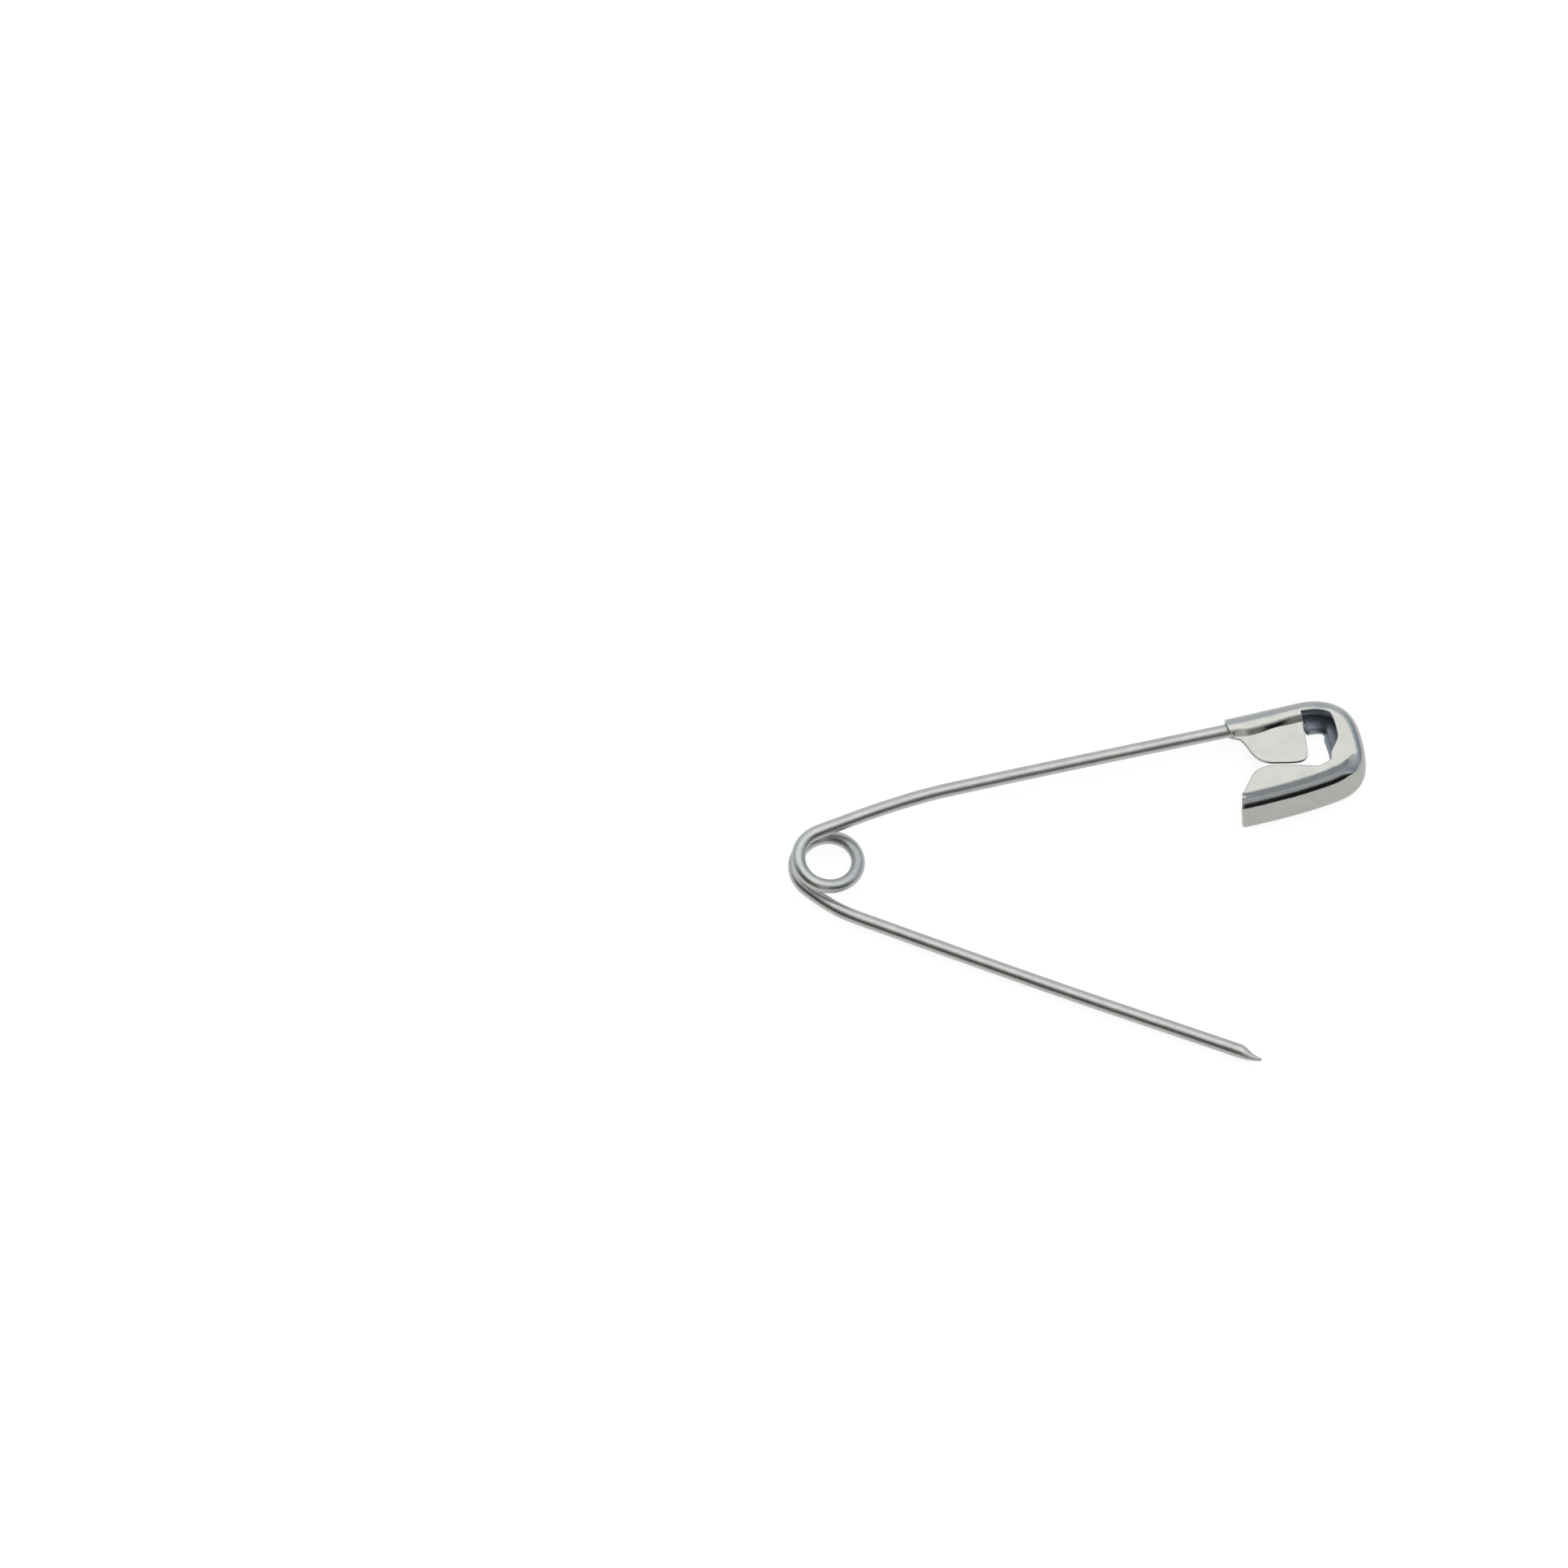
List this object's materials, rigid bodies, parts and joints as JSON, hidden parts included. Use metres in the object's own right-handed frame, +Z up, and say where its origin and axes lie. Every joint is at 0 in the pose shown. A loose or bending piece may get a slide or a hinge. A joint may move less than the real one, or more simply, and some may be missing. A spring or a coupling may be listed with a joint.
{
  "type": "safety pin",
  "caption": "Nickel-plated coiled safety pin, open, with its pin arm, coil spring and pressed clasp cap.",
  "frame": {"origin": "bottom centre of the open pin's bounding box, on the surface that it lies on", "axes": "+X along the straight run of the back arm, from the coil towards the clasp cap; +Z up, square to the surface that the pin lies on; the pin arm opens towards -Y"},
  "size_m": [0.0396, 0.0244, 0.0026],
  "materials": {
    "wire_nickel": "nickel-plated, drawn, bright",
    "cap_nickel": "nickel-plated, polished, lightly scuffed"
  },
  "bodies": {
    "back": {"back_arm": "wire_nickel", "clasp_cap": "cap_nickel"},
    "coil": {"spring_coil": "wire_nickel"},
    "pin": {"pin_arm": "wire_nickel"}
  },
  "joints": [
    {"name": "spring_swing", "type": "hinge", "parent": "back", "child": "coil", "pos_m": [-0.01715, 0.00842, 0.00036], "axis": [0.0349, 0.0471, 0.9983], "range_deg": [-35, 41], "stiffness_Nm_per_rad": 0.1, "deforming": ["spring_coil"]},
    {"name": "pin_flex", "type": "hinge", "parent": "coil", "child": "pin", "pos_m": [-0.01875, 0.00709, 0.00048], "axis": [-0.5892, -0.8058, 0.0587], "range_deg": [-10, 2.7], "stiffness_Nm_per_rad": 0.12, "deforming": ["spring_coil"]}
  ]
}
